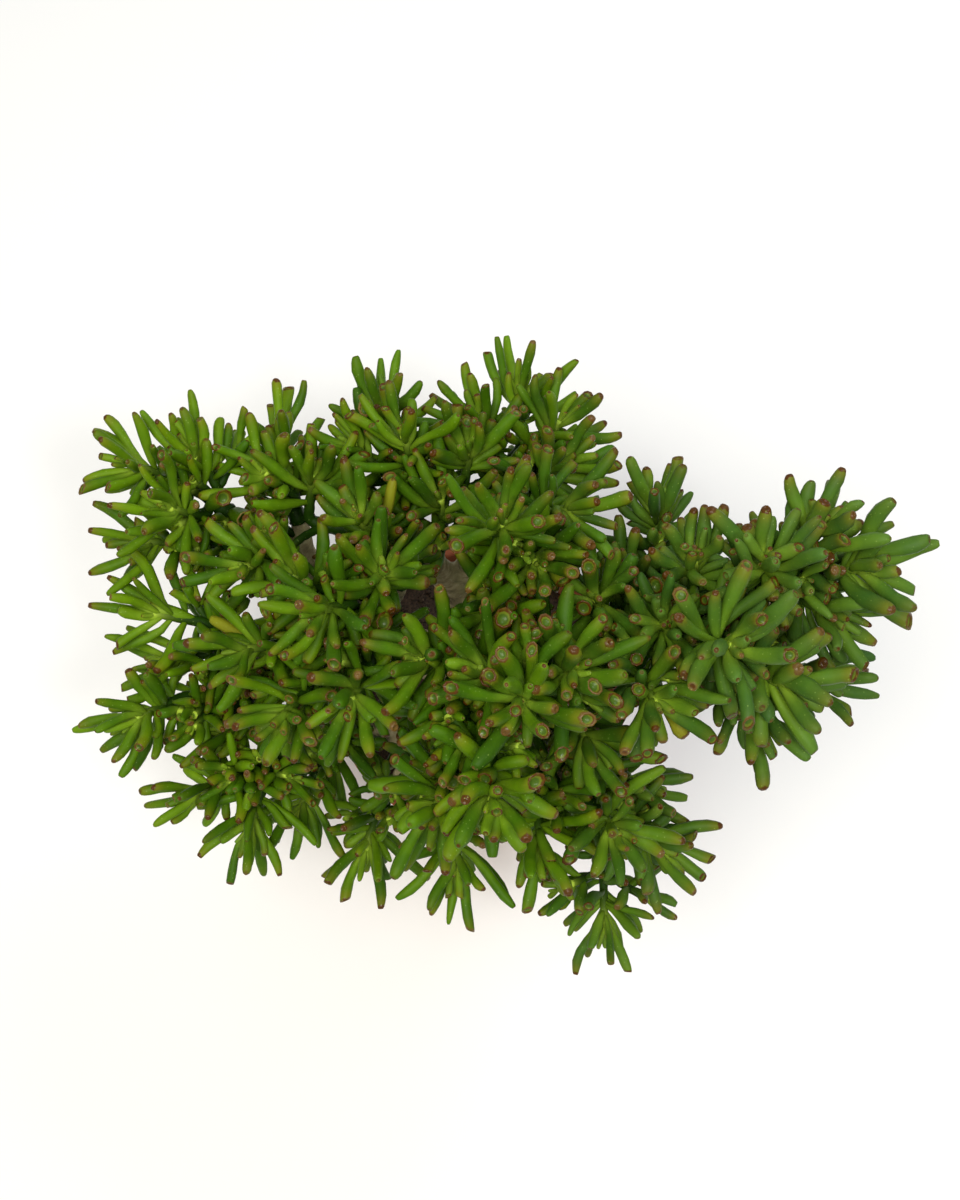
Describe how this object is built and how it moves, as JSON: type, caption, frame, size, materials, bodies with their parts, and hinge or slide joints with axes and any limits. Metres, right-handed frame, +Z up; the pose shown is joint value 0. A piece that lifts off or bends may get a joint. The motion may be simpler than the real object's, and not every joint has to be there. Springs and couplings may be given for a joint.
{
  "type": "potted gollum jade",
  "caption": "Bushy jade plant with tubular, cup-ended succulent leaves on a branching woody trunk, in a plain clay pot.",
  "frame": {"origin": "centre of the pot's flat base, on the surface that it stands on", "axes": "+Z up, along the trunk; -Y towards the side that the picture is taken from; +X to the right in the picture"},
  "size_m": [0.4243, 0.3344, 0.4584],
  "materials": {
    "clay": "unglazed fired clay, matt",
    "earth": "gritty potting mix, dry on top",
    "bark": "smooth grey-tan succulent bark, matt",
    "leaf": "waxy glossy succulent skin, green with red-brown rims"
  },
  "bodies": {
    "root": {"pot": "clay", "soil": "earth", "trunk": "bark", "westBackASpray": "leaf", "westBackBSpray": "leaf", "westBackCSpray": "leaf", "backLeftASpray": "leaf", "backLeftBSpray": "leaf", "backRightASpray": "leaf", "backRightBSpray": "leaf", "crownBackASpray": "leaf", "crownBackBSpray": "leaf", "westTopASpray": "leaf", "eastBackASpray": "leaf", "crownFrontASpray": "leaf", "crownFrontBSpray": "leaf", "westTopBSpray": "leaf", "crownFrontCSpray": "leaf", "frontLeftASpray": "leaf", "frontLeftBSpray": "leaf", "frontRightASpray": "leaf", "frontRightBSpray": "leaf", "frontRightCSpray": "leaf", "eastBackBSpray": "leaf", "eastOutASpray": "leaf", "eastOutBSpray": "leaf", "eastOutCSpray": "leaf", "eastBackCSpray": "leaf", "westTopCSpray": "leaf", "westFrontASpray": "leaf", "westFrontBSpray": "leaf", "westFrontCSpray": "leaf", "westFrontDSpray": "leaf", "frontLeftCSpray": "leaf"}
  },
  "joints": []
}
